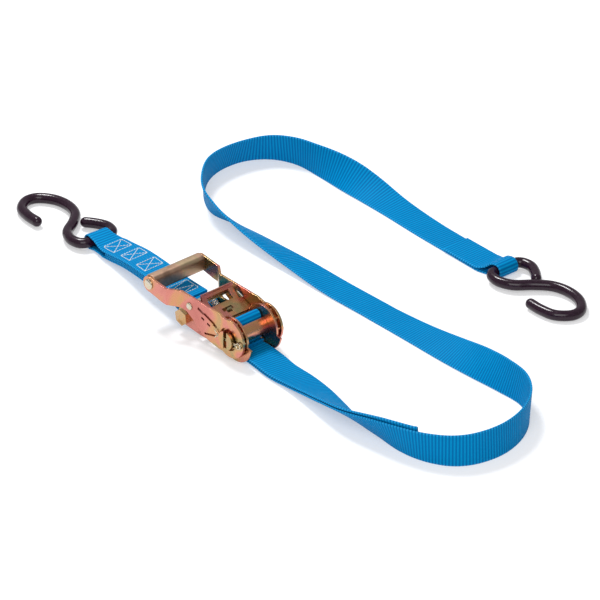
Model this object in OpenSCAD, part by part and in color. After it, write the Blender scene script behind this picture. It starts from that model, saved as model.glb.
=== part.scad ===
// Ratchet tie down: a steel ratchet with a short anchor strap, a long load strap
// that lies in two loops, and a coated S hook on the end of each strap.
// Millimetres, +Z up. The origin is the middle of the spool's axis. +X runs from
// the anchor bolt to the spool and +Y runs across the ratchet.

/* [Webbing] */
// Width of the webbing
strap_w = 25; // [24:0.5:25]
// Thickness of one layer of webbing
strap_t = 1.5; // [1.2:0.1:1.5]
// Gap left between two layers of webbing
layer_gap = 0.1; // [0.05:0.05:0.15]

/* [Ratchet frame] */
// Height of the spool's axis above the ground
axis_h = 18; // [18:0.5:19]
// Thickness of the frame's side plates
frame_t = 1.8; // [1.6:0.1:1.8]
// Half of the clear width between the frame's side plates
frame_in = 13.2; // [13.2:0.1:13.5]
// Radius of the frame's cam edge around the spool
cam_r = 15.9; // [15.8:0.1:16]
// Radius of the frame's foot below the spool
foot_r = 17; // [16.8:0.1:17]
// Distance from the spool's axis back to the anchor bolt
bolt_back = 52; // [52:0.5:53]
// Drop from the spool's axis to the anchor bolt
bolt_drop = 4.2; // [4:0.1:4.4]
// Radius of the anchor bolt's shank
bolt_r = 4; // [3.8:0.1:4]

/* [Spool] */
// Radius of the pair of half round shafts
shaft_r = 7.2; // [7:0.1:7.4]
// Half of the slot between the two shafts
slot_half = 1.7; // [1.6:0.1:1.8]
// Half of the length of the shafts
shaft_half = 22.5; // [22.5:0.5:23]
// Number of ratchet teeth on each wheel
teeth = 12; // [12:12:12]
// Radius of the wheels at the tips of their teeth
tip_r = 15.3; // [15:0.1:15.3]
// Radius of the wheels between their teeth
root_r = 12.2; // [12:0.1:12.2]
// Thickness of the wheels
wheel_t = 2; // [1.8:0.1:2]

/* [Handle] */
// Thickness of the handle's side plates
handle_t = 1.8; // [1.6:0.1:1.8]
// Outer half width of the handle beside the spool
handle_out = 19.4; // [19.4:0.1:19.8]
// Outer half width of the handle at its grip
grip_out = 26; // [26:0.1:26.5]
// Distance from the spool's axis back to the grip
grip_back = 79; // [78.5:0.5:79.5]
// Height of the grip above the spool's axis
grip_up = 14.6; // [14.4:0.1:14.8]
// Angle of the release slider above the ratchet's long axis
slider_tilt = 20; // [19.5:0.5:20]
// Distance from the spool's axis to the slider's working edge
slider_tip = 16.3; // [16.3:0.1:16.5]

/* [Lock pawl] */
// Angle of the lock pawl below the ratchet's long axis
pawl_tilt = 15; // [15:1:15]
// Distance from the spool's axis to the lock pawl's working edge
pawl_tip = 12.6; // [12.6:0.1:12.8]
// Thickness of the lock pawl
pawl_t = 2.2; // [2:0.1:2.2]

/* [Hooks] */
// Diameter of the coated hook wire
wire_d = 8; // [7.5:0.5:8]
// Number of sides of the hook wire
wire_sides = 12; // [8:2:16]

/* [Hidden] */
$fn = 64;

// Colours of the finishes
PLATED = "#c98f78";
GRIP_STEEL = "#8d7a66";
BOLT_GOLD = "#c9a04a";
SPRING_STEEL = "#b9b9bd";
WEBBING = "#0f7fc4";
COATING = "#2b1a2c";

ground = -axis_h;
layer = strap_t + layer_gap;
frame_out = frame_in + frame_t;
wheel_in = frame_out + 0.3;
handle_in = handle_out - handle_t;
grip_in = grip_out - handle_t;
bolt_at = [-bolt_back, -bolt_drop];
grip_at = [-grip_back, grip_up];
crossbar_at = [-42, 9.6];
crossbar_r = 2.6;
pitch = 360 / teeth;
wire_r = wire_d / 2;
cut = 0.5;

// Radius of the middle of the webbing round the bolt and a hook's bar
sleeve_r = 5;
bolt_loop_r = sleeve_r + 0.4 + strap_t / 2;
hook_loop_r = wire_r + 0.5 + strap_t / 2;

// Middle of each hook's bar, where it passes through its loop of webbing
bar_z = ground + hook_loop_r + strap_t / 2;
left_bar = [-191, 21, bar_z];
right_bar = [41.3, 214.6, bar_z];
hook_lean = 1.4;
left_turn = 4.4;
right_turn = 1;
end_slant = 0.028;

// Share of its width that the webbing is bunched to inside a hook's eye, and the
// distance from the bar over which it spreads out again
BUNCH = 0.72;
BUNCH_RUN = 18;

// Route of the load strap from the spool to the loop on the right hook. Each row is
// [x, y, roll, lift]. Roll is the turn about the strap's length: 0 is flat, 90 has its
// left edge up and -90 its right edge up. Lift is the height above where it would rest.
MAIN_ROUTE = [
    [-4, 0, 0, 2.1], [10, 0, 0, 1.9], [24, -1, 0, 1.2], [40, -3, -2, 0.2],
    [60, -4, -6, 0], [80, -7, -14, 0], [102, -12, -26, 0], [126, -17, -41, 0],
    [151, -17, -57, 0], [174, -16, -73, 0], [195, -11, -83, 0], [213, 0, -90, 0],
    [223, 16, -93, 0], [226, 39, -93, 0], [220, 63, -90, 0], [206, 84, -86, 0],
    [186, 97, -78, 0], [161, 101, -62, 0], [134, 103, -44, 0], [104, 105, -24, 0],
    [68, 107, -8, 0], [27, 108, 0, 0], [-23, 108, 2, 0], [-63, 109, 10, 0],
    [-98, 109, 21, 0], [-125, 109, 33, 0], [-147, 109, 48, 0], [-169, 111, 70, 0],
    [-188, 122, 84, 0], [-205, 140, 95, 0], [-213, 161, 106, 0], [-212, 184, 110, 0],
    [-202, 202, 104, 0], [-184, 212, 95, 0], [-161, 215, 80, 0], [-137, 218, 55, 0],
    [-112, 221, 25, 0], [-84, 221, 6, 0], [-38, 218, 0, 0], [23.3, 215.1, 0, 0]
];
// Route of the loose turn of webbing on the spool, [x, z], from the foot of the slot
WRAP_ROUTE = [
    [0, -9.5], [0, -3], [0, 4], [-0.8, 8.6], [-3.6, 10.7], [-7.2, 8.8], [-9.8, 5.4], [-11, 1],
    [-10.6, -3.4], [-8.4, -7.4], [-4.8, -10.2], [-0.6, -11.3], [3, -11]
];
// Steps between two points of the route, and how many points the tail follows
ROUTE_STEPS = 2;
TAIL_POINTS = 11;

// Middle line of the anchor strap from the bolt to the left hook's bar
ANCHOR_ROUTE = [
    [-bolt_back, 0, -bolt_drop], [-66, 1, -1.5], [-92, 5, -1.2], [-118, 10, -3],
    [-143, 16, -7], [-168, 20.5, -12], left_bar
];

// Middle line of a hook's wire, [forward, across], from the eye's closed tip, round the
// straight bar at the origin and the S to the open tip
HOOK_ROUTE = [
    [26.6, 7.6], [20, 12.6], [12, 16.3], [5, 15.8], [1.2, 13.2], [0, 9.5], [0, 0], [0, -9.5],
    [1.2, -13.2], [5, -15.8], [13, -16.3], [23, -11.5], [32, 0], [42, 9.3], [55, 13],
    [69, 11], [80, 2.7], [81.5, -7.5], [73.5, -17], [61.5, -19.8], [50.5, -19.8]
];

// ---- Functions that carry a section along a route ----

function unit(v) = v / norm(v);

// One point of a smooth curve through b and c, at t of the way between them
function curve_at(a, b, c, d, t) =
    0.5 * (2 * b + (c - a) * t + (2 * a - 5 * b + 4 * c - d) * t * t
        + (3 * b - a - 3 * c + d) * t * t * t);

// A smooth curve through every row of a list, with n steps from row to row
function smooth(rows, n) = [
    for (i = [0 : len(rows) - 2], k = [0 : n - 1])
        curve_at(rows[max(i - 1, 0)], rows[i], rows[i + 1],
            rows[min(i + 2, len(rows) - 1)], k / n),
    rows[len(rows) - 1]
];

// Direction of a line of points at its point i
function heading(p, i) = unit(p[min(i + 1, len(p) - 1)] - p[max(i - 1, 0)]);

// Height of the strap's middle over the ground for a roll and a lift
function rest_z(roll, lift) =
    ground + strap_w / 2 * abs(sin(roll)) + strap_t / 2 * abs(cos(roll)) + lift;

// Unit vector from the middle of the strap to its left edge
function left_of(t, roll) =
    let (flat = unit(cross([0, 0, 1], t)), up = cross(t, flat))
    cos(roll) * flat + sin(roll) * up;

// Sections for the sweep: webbing and round wire
BAND = [
    [strap_w / 2, strap_t / 2], [-strap_w / 2, strap_t / 2],
    [-strap_w / 2, -strap_t / 2], [strap_w / 2, -strap_t / 2]
];
function ring(r, sides) = [for (k = [0 : sides - 1]) r * [cos(360 * k / sides), sin(360 * k / sides)]];

// Carries a section along points. side is the section's first axis at each point,
// its second is square to the line, and size scales the section at each point. A
// band's two faces are split along the same diagonals, so that layers stay parallel.
module sweep(points, side, section, size) {
    n = len(points);
    m = len(section);
    verts = [
        for (i = [0 : n - 1], s = section)
            let (up = unit(cross(heading(points, i), side[i])), f = is_undef(size) ? 1 : size[i])
            points[i] + f * (s[0] * side[i] + s[1] * up)
    ];
    walls = [
        for (i = [0 : n - 2], k = [0 : m - 1])
            let (a = i * m + k, b = i * m + (k + 1) % m)
            each m == 4 && k == 2 ? [[a, a + m, b], [a + m, b + m, b]] : [[a, a + m, b + m], [a, b + m, b]]
    ];
    start_cap = [for (k = [0 : m - 1]) k];
    end_cap = [for (k = [0 : m - 1]) n * m - 1 - k];
    polyhedron(points = verts, faces = concat(walls, [start_cap], [end_cap]), convexity = 8);
}

// The load strap's points and edge directions, worked out once
main_rows = smooth(MAIN_ROUTE, ROUTE_STEPS);
main_points = [for (r = main_rows) [r[0], r[1], rest_z(r[2], r[3])]];
main_left = [for (i = [0 : len(main_rows) - 1]) left_of(heading(main_points, i), main_rows[i][2])];
tail_last = ROUTE_STEPS * (TAIL_POINTS - 1);

// ---- Placing ----

// Local +X runs out from the spool's axis to the rear, tilted up by the angle
module out_from_spool(tilt) {
    rotate([0, tilt, 0]) rotate([0, 0, 180]) children();
}

// A drawing in X and Z made into a plate that reaches from y = a to y = b
module plate_y(a, b) {
    translate([0, b, 0]) rotate([90, 0, 0]) linear_extrude(b - a) children();
}

// A round bar along Y
module rod_y(at, r, a, b) {
    translate([at[0], b, at[1]]) rotate([90, 0, 0]) cylinder(r = r, h = b - a);
}

// A low round head along Y that starts at y = a and is h high, turned away from zero
module head_y(at, r, a, h) {
    translate([at[0], a, at[1]]) rotate([a < 0 ? 90 : -90, 0, 0])
        rotate_extrude()
            polygon([[0, 0], [r, 0], [r, h * 0.45], [r * 0.86, h * 0.8], [r * 0.55, h], [0, h]]);
}

// ---- Frame ----

module frame_outline() {
    translate(bolt_at) circle(7.5);
    circle(cam_r);
    intersection() {
        translate([3, -1]) circle(foot_r);
        polygon([[-12, -30], [30, -30], [30, -6], [0, 1]]);
    }
    polygon([
        [-bolt_back, -bolt_drop - 7.5], [-47, -12.2], [-36, -13.4], [-14, -13.8], [-4, -15],
        [-1, -2], [-12, 3.2], [-40, 3.2], [-bolt_back + 1, 7.4 - bolt_drop]
    ]);
}

module frame_plate(a, b) {
    color(PLATED) difference() {
        plate_y(a, b) frame_outline();
        rod_y([0, 0], shaft_r + 0.1, a - cut, b + cut);
        rod_y(bolt_at, bolt_r + 0.05, a - cut, b + cut);
        out_from_spool(-pawl_tilt) {
            translate([11.6, -20, -pawl_t / 2 - 0.2]) cube([18, 40, pawl_t + 0.4]);
            translate([36.95, -20, -1.55]) cube([1.7, 40, 5.1]);
        }
    }
}

// Cross plate between the side plates that the lock pawl's spring pushes against
module frame_bridge() {
    color(PLATED) out_from_spool(-pawl_tilt) {
        translate([37, -frame_in + 0.05, -3]) cube([1.6, 2 * frame_in - 0.1, 8]);
        translate([37, -frame_out, -1.5]) cube([1.6, 2 * frame_out, 5]);
    }
}

module anchor_bolt() {
    color(BOLT_GOLD) {
        rod_y(bolt_at, bolt_r, -frame_out - 1, frame_out + 4.4);
        translate([bolt_at[0], -frame_out, bolt_at[1]]) rotate([90, 20, 0]) cylinder(r = 6.6, h = 4.4, $fn = 6);
    }
}

module anchor_nut() {
    color(BOLT_GOLD) difference() {
        translate([bolt_at[0], frame_out + 4, bolt_at[1]]) rotate([90, 30, 0]) cylinder(r = 6.4, h = 4, $fn = 6);
        rod_y(bolt_at, bolt_r + 0.05, frame_out - cut, frame_out + 5);
    }
}

module anchor_sleeve() {
    color(SPRING_STEEL) difference() {
        rod_y(bolt_at, sleeve_r, -frame_in + 0.2, frame_in - 0.2);
        rod_y(bolt_at, bolt_r + 0.1, -frame_in - cut, frame_in + cut);
    }
}

// ---- Lock pawl ----

module lock_pawl() {
    color(PLATED) out_from_spool(-pawl_tilt) {
        translate([pawl_tip, -frame_in + 0.3, -pawl_t / 2]) cube([27 - pawl_tip, 2 * frame_in - 0.6, pawl_t]);
        translate([pawl_tip, -17.2, -pawl_t / 2]) cube([24 - pawl_tip, 34.4, pawl_t]);
        translate([26.5, 0, 0]) rotate([0, 90, 0]) cylinder(r = 1.4, h = 4.5);
    }
}

// A compression spring along +X from the origin
module coil_spring(length, r, wire, turns) {
    steps = 14;
    n = round(turns * steps);
    points = [
        for (i = [0 : n])
            [wire / 2 + (length - wire) * i / n, r * cos(360 * i / steps), r * sin(360 * i / steps)]
    ];
    radial = [for (i = [0 : n]) [0, cos(360 * i / steps), sin(360 * i / steps)]];
    sweep(points, radial, ring(wire / 2, 6));
}

module lock_spring() {
    color(SPRING_STEEL) out_from_spool(-pawl_tilt) translate([27.1, 0, 0]) coil_spring(9.8, 2.3, 0.8, 5);
}

// ---- Handle ----

module handle_outline() {
    translate([1.5, 1]) circle(15);
    translate(grip_at) circle(6.2);
    polygon([
        [-78.5, 8.5], [-65, 5.8], [-55, 5], [-45, 4], [-38, 0], [-33, -3.4], [-28, -8],
        [-20, -10.4], [-10, -12], [0, -12], [10, 0], [-2.5, 15], [-10, 17], [-47, 18],
        [-60, 18.4], [-70, 19.6], [-78.5, 20.7]
    ]);
}

// The side plate seen from above: it steps out from the spool to the grip
module handle_bend() {
    polygon([
        [20, handle_in], [20, handle_out], [-51, handle_out], [-60, grip_out], [-90, grip_out],
        [-90, grip_in], [-60.8, grip_in], [-51.8, handle_in]
    ]);
}

module handle_plate(side) {
    color(PLATED) difference() {
        intersection() {
            plate_y(-40, 40) handle_outline();
            scale([1, side, 1]) translate([0, 0, -40]) linear_extrude(80) handle_bend();
        }
        rod_y([0, 0], 8.9, -40, 40);
        rod_y(grip_at, 2.55, -40, 40);
        rod_y(crossbar_at, 2, -40, 40);
        out_from_spool(slider_tilt) {
            translate([13, -40, -1.1]) cube([22, 80, 2.2]);
            translate([26, -40, -5.2]) cube([3.2, 80, 1.6]);
            translate([19.4, -40, -5.2]) cube([3.2, 80, 1.6]);
        }
        translate([-25.5, -40, -6.6]) rotate([0, -13, 0]) cube([13, 80, 1.5]);
    }
}

// Rolled channel that the hand pulls on
module grip_channel() {
    color(GRIP_STEEL) plate_y(-grip_in + 0.1, grip_in - 0.1) translate([grip_at[0] - 4.8, grip_at[1] - 6.1]) difference() {
        translate([3, 3]) hull() {
            circle(3, $fn = 24);
            translate([3.6, 0]) circle(3, $fn = 24);
            translate([3.6, 6.6]) circle(3, $fn = 24);
            translate([0, 6.6]) circle(3, $fn = 24);
        }
        translate([3, 3]) hull() {
            circle(1.6, $fn = 24);
            translate([3.6, 0]) circle(1.6, $fn = 24);
            translate([3.6, 6.6]) circle(1.6, $fn = 24);
            translate([0, 6.6]) circle(1.6, $fn = 24);
        }
        translate([-1, 2.2]) square([3, 2.4]);
    }
}

module grip_rivet() {
    color(SPRING_STEEL) {
        rod_y(grip_at, 2.5, -grip_out, grip_out);
        head_y(grip_at, 4, -grip_out, 1.5);
        head_y(grip_at, 4, grip_out, 1.5);
    }
}

module handle_crossbar() {
    color(SPRING_STEEL) {
        rod_y(crossbar_at, crossbar_r, -handle_in + 0.05, handle_in - 0.05);
        rod_y(crossbar_at, 1.95, -handle_out, handle_out);
        head_y(crossbar_at, 2.9, -handle_out, 1.1);
        head_y(crossbar_at, 2.9, handle_out, 1.1);
    }
}

// Sheet slider: a flat blade that reaches through the handle's slots, and a raised
// ring behind it that the finger pulls
module release_slider() {
    color(PLATED) out_from_spool(slider_tilt) {
        difference() {
            union() {
                translate([slider_tip, -13, -0.8]) cube([28.6 - slider_tip, 26, 1.6]);
                translate([slider_tip, -20.4, -0.8]) cube([28 - slider_tip, 40.8, 1.6]);
                plate_y(-15, 15) polygon([
                    [27.5, -0.8], [29.4, -0.8], [34.6, 0.6], [38.2, 3], [40, 6.6], [38.7, 7.3],
                    [37, 4.3], [33.8, 2.1], [29, 0.8], [27.5, 0.8]
                ]);
            }
            translate([30.2, -10.6, -5]) cube([6.6, 21.2, 20]);
            translate([22.4, -4.6, -2]) cube([3, 9.2, 4]);
            translate([20.4, -2.2, -2]) cube([3, 4.4, 4]);
        }
        translate([27.4, -4, -8.2]) cube([1.6, 8, 7.8]);
        translate([28.8, 0, -5.3]) rotate([0, 90, 0]) cylinder(r = 1.4, h = 4);
    }
}

module release_spring() {
    color(SPRING_STEEL) out_from_spool(slider_tilt) translate([29.1, 0, -5.3]) coil_spring(10.8, 2.3, 0.7, 5);
}

// ---- Spool ----

// One half round shaft. dir is -1 for the rear shaft and 1 for the front one.
module half_round(dir, r, gap, a, b) {
    intersection() {
        rod_y([0, 0], r, a, b);
        translate([dir < 0 ? -20 : gap, a - cut, -20]) cube([20 - gap, b - a + 2 * cut, 40]);
    }
}

module half_shaft(dir) {
    color(SPRING_STEEL) difference() {
        half_round(dir, shaft_r, slot_half, -shaft_half, shaft_half);
        for (y = [-20.7, 20.7])
            translate([-12, y, 0]) rotate([0, 90, 0]) cylinder(r = 1.2, h = 24);
    }
}

// Saw teeth that lean one way, with their gaps centred on the lock pawl
module wheel_outline() {
    polygon([
        for (k = [0 : teeth - 1], p = [[root_r, 9.5], [root_r, 20], [tip_r, 35.5], [tip_r, 38.5]])
            p[0] * [cos(p[1] + pitch * k), sin(p[1] + pitch * k)]
    ]);
}

module ratchet_wheel(a, b) {
    color(BOLT_GOLD) difference() {
        plate_y(a, b) wheel_outline();
        half_round(-1, shaft_r + 0.05, slot_half - 0.05, a - cut, b + cut);
        half_round(1, shaft_r + 0.05, slot_half - 0.05, a - cut, b + cut);
    }
}

module cotter_pin(y) {
    color(SPRING_STEEL) translate([0, y, 0]) {
        translate([-10.5, 0, 0]) rotate([0, 90, 0]) cylinder(r = 1.1, h = 21);
        translate([12.4, 0, 0]) rotate([90, 0, 0]) rotate_extrude() translate([2, 0]) circle(0.9);
        translate([-10.5, 0, 0]) rotate([0, -60, 0]) cylinder(r = 0.8, h = 3.4);
        translate([-10.5, 0, 0]) rotate([0, -120, 0]) cylinder(r = 0.8, h = 3.4);
    }
}

// ---- Webbing ----

// The turn of webbing that passes down the slot and round the rear shaft
module strap_wrap() {
    path = smooth(WRAP_ROUTE, 3);
    points = [for (p = path) [p[0], 0, p[1]]];
    color(WEBBING) sweep(points, [for (p = points) [0, -1, 0]], BAND);
}

module main_strap() {
    color(WEBBING) sweep(main_points, main_left, BAND);
}

// Width direction of the webbing at a point. Near a hook's bar it narrows and takes
// the bar's turn.
function bunched(p, bar, turn) =
    let (away = min(1, max(0, norm(p - bar) - 6) / (BUNCH_RUN - 6)), a = turn * (1 - away))
    (BUNCH + (1 - BUNCH) * away) * [sin(a), cos(a), 0];

// The strap's end: under the hook's bar, round it and back over the strap
module main_strap_end() {
    low = ground + strap_t / 2;
    path = concat(
        [[-17.4, low], [-12, low], [-5, low]],
        [for (a = [-90 : 15 : 90]) [hook_loop_r * cos(a), bar_z + hook_loop_r * sin(a)]],
        [[-6, bar_z + 3.6], [-12, low + layer + 2.8], [-19, low + layer + 0.6]],
        [[-26, low + layer + 0.3], [-54, low + layer + 0.3]]
    );
    points = [
        for (p = path)
            [right_bar[0] + p[0], right_bar[1] - p[0] * end_slant, p[1]]
    ];
    color(WEBBING) sweep(points, [for (p = points) bunched(p, right_bar, right_turn)], BAND);
}

// The free tail lies on the load strap's upper face from the spool onwards
module strap_tail() {
    points = [
        for (i = [1 : tail_last])
            main_points[i] + (layer + 0.4) * unit(cross(heading(main_points, i), main_left[i]))
    ];
    color(WEBBING) sweep(points, [for (i = [1 : tail_last]) main_left[i]], BAND);
}

// The anchor strap's middle line, with the directions across it and square to it
anchor_line = smooth(ANCHOR_ROUTE, 3);
function anchor_side(i) = unit(cross(heading(anchor_line, i), [0, 0, 1]));
function anchor_up(i) = cross(anchor_side(i), heading(anchor_line, i));

// A half turn of webbing round a bar, from its top to its bottom. It bulges along out.
function half_turn(at, r, out) = [for (a = [90 : -15 : -90]) at + r * (cos(a) * out + [0, 0, sin(a)])];

// Half of the gap between the middles of the two inner layers at the line's first
// points, where they open to go round the bolt
OPENING = [bolt_loop_r, 5.4, 4.2, 3, 2, 1.2];
function half_gap(i) = i < len(OPENING) ? OPENING[i] : layer / 2;
// The same where the outer layers open to go round the hook's bar
function end_gap(i) = i > len(anchor_line) - 3 ? 3.9 : layer * 1.5;

// The layers that go round the anchor bolt
module anchor_strap() {
    run = len(anchor_line) - 4;
    points = concat(
        [for (i = [run : -1 : 1]) anchor_line[i] + half_gap(i) * anchor_up(i)],
        half_turn(ANCHOR_ROUTE[0], bolt_loop_r, [1, 0, 0]),
        [for (i = [1 : run]) anchor_line[i] - half_gap(i) * anchor_up(i)]
    );
    color(WEBBING) sweep(points, [for (p = points) [0, 1, 0]], BAND);
}

// The layers that go round the left hook's bar
module anchor_strap_end() {
    last = len(anchor_line) - 1;
    points = concat(
        [for (i = [2 : last - 1]) anchor_line[i] + max(half_gap(i) + layer, end_gap(i)) * anchor_up(i)],
        half_turn(left_bar, hook_loop_r, [-cos(left_turn), sin(left_turn), 0]),
        [for (i = [last - 1 : -1 : 8]) anchor_line[i] - end_gap(i) * anchor_up(i)]
    );
    color(WEBBING) sweep(points, [for (p = points) -bunched(p, left_bar, left_turn)], BAND);
}

// ---- Hooks ----

// An S hook in the XY plane with its straight bar at the origin and round tips
module s_hook() {
    line = smooth([for (p = HOOK_ROUTE) [p[0], p[1], 0]], 3);
    last = len(line) - 1;
    start_dir = heading(line, 0);
    end_dir = heading(line, last);
    caps = [[0.98, 0.2], [0.8, 0.6], [0.45, 0.89]];
    points = concat(
        [for (c = caps) line[0] - wire_r * c[0] * start_dir],
        line,
        [for (k = [2 : -1 : 0]) line[last] + wire_r * caps[k][0] * end_dir]
    );
    size = concat([for (c = caps) c[1]], [for (p = line) 1], [for (k = [2 : -1 : 0]) caps[k][1]]);
    side = [for (i = [0 : len(points) - 1]) unit(cross([0, 0, 1], heading(points, i)))];
    sweep(points, side, ring(wire_r, wire_sides), size);
}

module left_hook() {
    color(COATING) translate(left_bar) rotate([0, 180 - hook_lean, -left_turn]) s_hook();
}

module right_hook() {
    color(COATING) translate(right_bar) rotate([0, hook_lean, -right_turn]) s_hook();
}

frame_plate(-frame_out, -frame_in);  // frame_plate_near
frame_plate(frame_in, frame_out);  // frame_plate_far
frame_bridge();
anchor_bolt();
anchor_nut();
anchor_sleeve();
lock_pawl();
lock_spring();
handle_plate(-1);  // handle_plate_near
handle_plate(1);  // handle_plate_far
grip_channel();
grip_rivet();
handle_crossbar();
release_slider();
release_spring();
half_shaft(-1);  // half_shaft_rear
half_shaft(1);  // half_shaft_front
ratchet_wheel(-wheel_in - wheel_t, -wheel_in);  // ratchet_wheel_near
ratchet_wheel(wheel_in, wheel_in + wheel_t);  // ratchet_wheel_far
cotter_pin(-20.7);  // cotter_pin_near
cotter_pin(20.7);  // cotter_pin_far
strap_wrap();
main_strap();
main_strap_end();
strap_tail();
anchor_strap();
anchor_strap_end();
left_hook();
right_hook();
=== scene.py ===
"""Ratchet tie down on a pale floor.

A passivated steel ratchet holds a short anchor strap and a long load strap of blue
polyester webbing. Each strap ends round the eye of an S hook dipped in black vinyl.
The webbing, hooks, springs and pins are array formulas: a route or outline in
millimetres, and a section that is carried along it. The metal parts are copies of the
CAD nodes with their edges broken.
"""

import logging
from dataclasses import dataclass, field
from enum import Enum
from math import radians

import bmesh
import bpy
import numpy as np
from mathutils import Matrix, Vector


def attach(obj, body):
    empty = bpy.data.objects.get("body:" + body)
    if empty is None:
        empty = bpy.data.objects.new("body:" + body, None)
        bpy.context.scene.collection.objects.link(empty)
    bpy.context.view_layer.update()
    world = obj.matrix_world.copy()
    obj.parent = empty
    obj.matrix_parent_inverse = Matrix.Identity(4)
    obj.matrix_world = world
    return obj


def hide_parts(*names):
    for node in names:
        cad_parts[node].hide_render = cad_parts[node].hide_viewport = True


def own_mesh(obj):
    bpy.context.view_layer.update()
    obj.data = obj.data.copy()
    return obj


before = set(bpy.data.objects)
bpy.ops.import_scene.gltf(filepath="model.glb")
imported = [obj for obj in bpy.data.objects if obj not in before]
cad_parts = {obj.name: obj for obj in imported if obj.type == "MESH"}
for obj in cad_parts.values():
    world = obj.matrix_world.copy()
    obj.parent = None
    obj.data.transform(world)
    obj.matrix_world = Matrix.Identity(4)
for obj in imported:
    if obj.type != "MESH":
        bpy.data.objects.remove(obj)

LOG = logging.getLogger("tie_down")
MM = 0.001
GROUND = -18.0


class Body(str, Enum):
    """The bodies that a piece can ride on."""

    FRAME = "frame"
    LOCK = "lock_pawl"
    SPOOL = "spool"
    HANDLE = "handle"
    SLIDER = "release_slider"
    ANCHOR = "anchor_strap"
    LEFT_HOOK = "left_hook"
    RIGHT_HOOK = "right_hook"


# ---------------------------------------------------------------- colours and nodes


def linear(hex_colour: str) -> tuple[float, float, float, float]:
    """Turns an sRGB hex colour into linear RGBA.

    Args:
        hex_colour: Six hex digits after a hash.

    Returns:
        Linear red, green and blue with an alpha of one.
    """
    parts = np.array([int(hex_colour[i:i + 2], 16) for i in (1, 3, 5)]) / 255.0
    value = np.where(parts <= 0.04045, parts / 12.92, ((parts + 0.055) / 1.055) ** 2.4)
    return (float(value[0]), float(value[1]), float(value[2]), 1.0)


def add_node(tree: bpy.types.NodeTree, kind: str, settings: dict | None = None,
             sockets: dict | None = None) -> bpy.types.Node:
    """Adds a node with its settings, socket values and links.

    Args:
        tree: The tree it goes into.
        kind: The node's type name, without ShaderNode.
        settings: Attributes of the node.
        sockets: Inputs by name or number: another node's output to link, or a value.

    Returns:
        The new node.
    """
    node = tree.nodes.new("ShaderNode" + kind)
    for name, value in (settings or {}).items():
        setattr(node, name, value)
    for name, value in (sockets or {}).items():
        if isinstance(value, bpy.types.NodeSocket):
            tree.links.new(value, node.inputs[name])
        else:
            node.inputs[name].default_value = value
    return node


def ramp(tree: bpy.types.NodeTree, factor: bpy.types.NodeSocket,
         stops: list[tuple[float, str]]) -> bpy.types.NodeSocket:
    """Adds a colour ramp.

    Args:
        tree: The tree it goes into.
        factor: The socket that drives it.
        stops: Position and hex colour of each stop.

    Returns:
        The ramp's colour output.
    """
    node = add_node(tree, "ValToRGB", sockets={0: factor})
    elements = node.color_ramp.elements
    elements[0].position, elements[0].color = stops[0][0], linear(stops[0][1])
    elements[1].position, elements[1].color = stops[-1][0], linear(stops[-1][1])
    for position, colour in stops[1:-1]:
        elements.new(position).color = linear(colour)
    return node.outputs["Color"]


def new_material(name: str) -> tuple[bpy.types.Material, bpy.types.NodeTree, bpy.types.Node]:
    """Makes an empty material.

    Args:
        name: Its name.

    Returns:
        The material, its tree and its shader node.
    """
    material = bpy.data.materials.new(name)
    material.use_nodes = True
    tree = material.node_tree
    tree.nodes.clear()
    shader = add_node(tree, "BsdfPrincipled")
    add_node(tree, "OutputMaterial", sockets={"Surface": shader.outputs["BSDF"]})
    return material, tree, shader


# ---------------------------------------------------------------- finishes


@dataclass(frozen=True)
class PassivatedSteel:
    """Zinc plated sheet steel with a yellow chromate passivation.

    The thin film shows as drifting rose, gold and faint green patches on a soft
    metal shine, with fine rolling lines and a few rubbed spots.
    """

    name: str = "zinc_yellow_passivated_steel"
    stops: tuple = ((0.28, "#B96F66"), (0.42, "#CB8276"), (0.52, "#C89468"), (0.62, "#A5966A"),
                    (0.74, "#CC8574"))
    patch_mm: float = 26.0
    line_mm: float = 0.5
    rough_low: float = 0.2
    rough_high: float = 0.36

    def make(self) -> bpy.types.Material:
        """Builds the material: patch noise tints the metal, line noise varies its gloss."""
        material, tree, shader = new_material(self.name)
        place = add_node(tree, "TexCoord").outputs["Object"]
        patch = add_node(tree, "TexNoise", sockets={
            "Vector": place, "Scale": 1 / (self.patch_mm * MM), "Detail": 3.0, "Roughness": 0.5,
            "Distortion": 0.8})
        tint = ramp(tree, patch.outputs[0], list(self.stops))
        rolled = add_node(tree, "Mapping", sockets={"Vector": place, "Scale": (0.06, 1.0, 1.0)})
        lines = add_node(tree, "TexNoise", sockets={
            "Vector": rolled.outputs[0], "Scale": 1 / (self.line_mm * MM), "Detail": 2.0})
        smear = add_node(tree, "TexNoise", sockets={
            "Vector": place, "Scale": 1 / (4 * MM), "Detail": 4.0})
        mixed = add_node(tree, "Math", {"operation": "MULTIPLY_ADD"}, {
            0: smear.outputs[0], 1: 0.7, 2: lines.outputs[0]})
        rough = add_node(tree, "MapRange", sockets={
            "Value": mixed.outputs[0], "From Min": 0.5, "From Max": 1.2,
            "To Min": self.rough_low, "To Max": self.rough_high})
        bump = add_node(tree, "Bump", sockets={
            "Strength": 0.25, "Distance": 0.02 * MM, "Height": mixed.outputs[0]})
        tree.links.new(tint, shader.inputs["Base Color"])
        tree.links.new(rough.outputs[0], shader.inputs["Roughness"])
        tree.links.new(bump.outputs[0], shader.inputs["Normal"])
        shader.inputs["Metallic"].default_value = 1.0
        return material


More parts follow.
